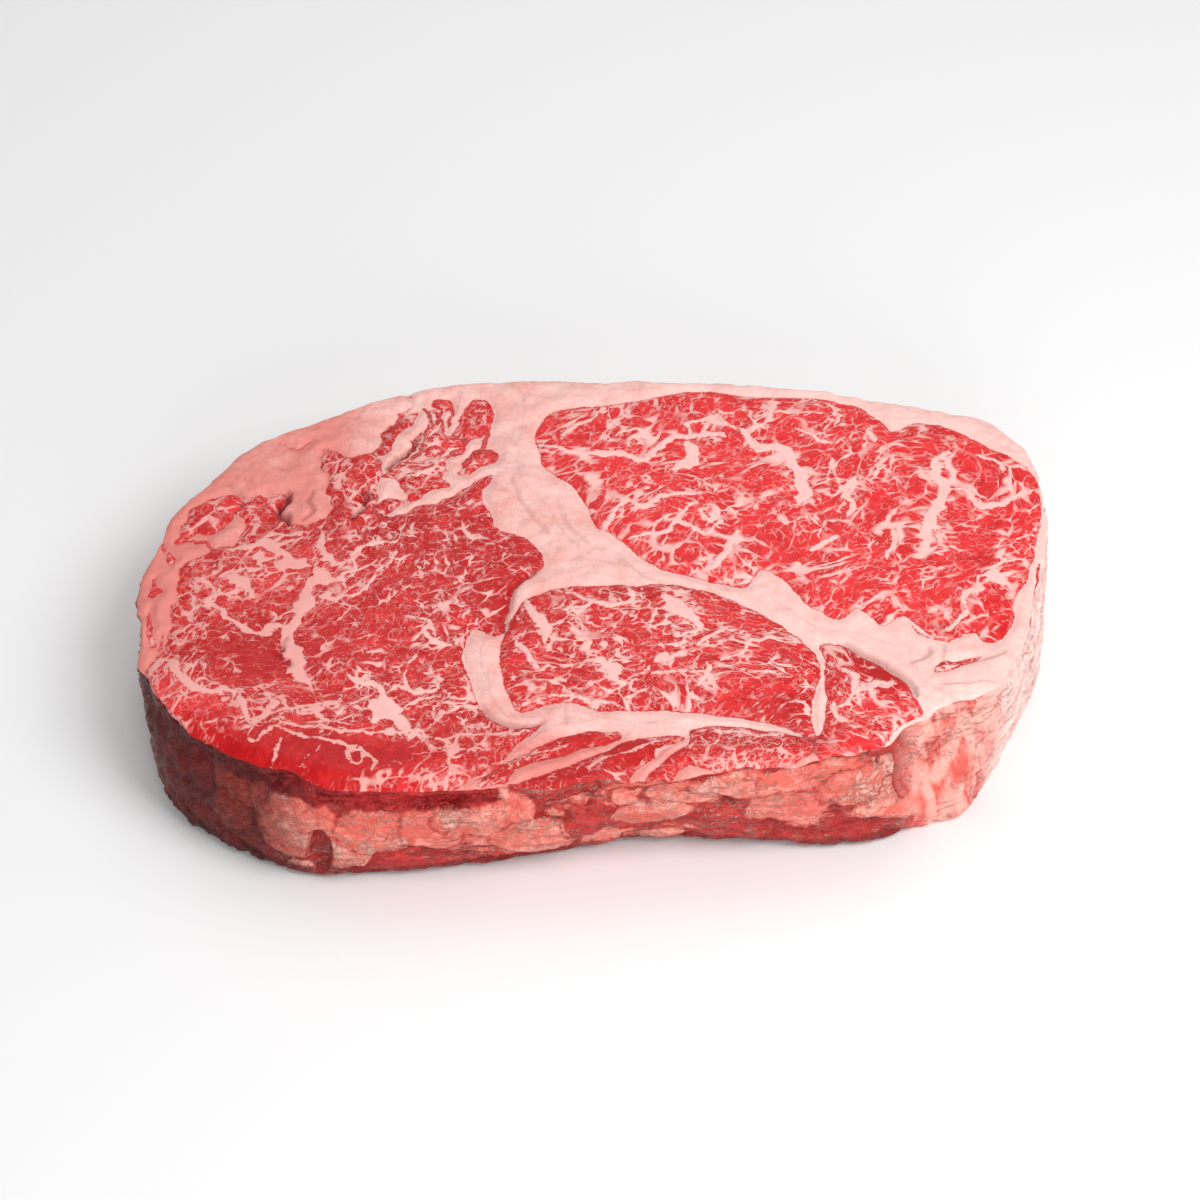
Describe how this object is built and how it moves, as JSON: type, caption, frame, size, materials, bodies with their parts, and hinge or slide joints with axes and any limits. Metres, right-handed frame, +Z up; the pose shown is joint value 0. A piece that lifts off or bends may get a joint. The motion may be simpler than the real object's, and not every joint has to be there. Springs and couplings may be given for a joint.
{
  "type": "raw beef steak",
  "caption": "Thick boneless slice of raw marbled beef, lying on its flat cut face: food to be cooked, plated, weighed, handled or shown on a counter.",
  "frame": {"origin": "centre of the underside, below the middle of the slice's box", "axes": "+X along the slice's longest way across, towards the long eye muscle; +Y across the slice; +Z up, from the underside to the upper cut face"},
  "size_m": [0.203, 0.136, 0.028],
  "materials": {
    "raw_beef": null
  },
  "bodies": {
    "root": {"steak": "raw_beef"}
  },
  "joints": []
}
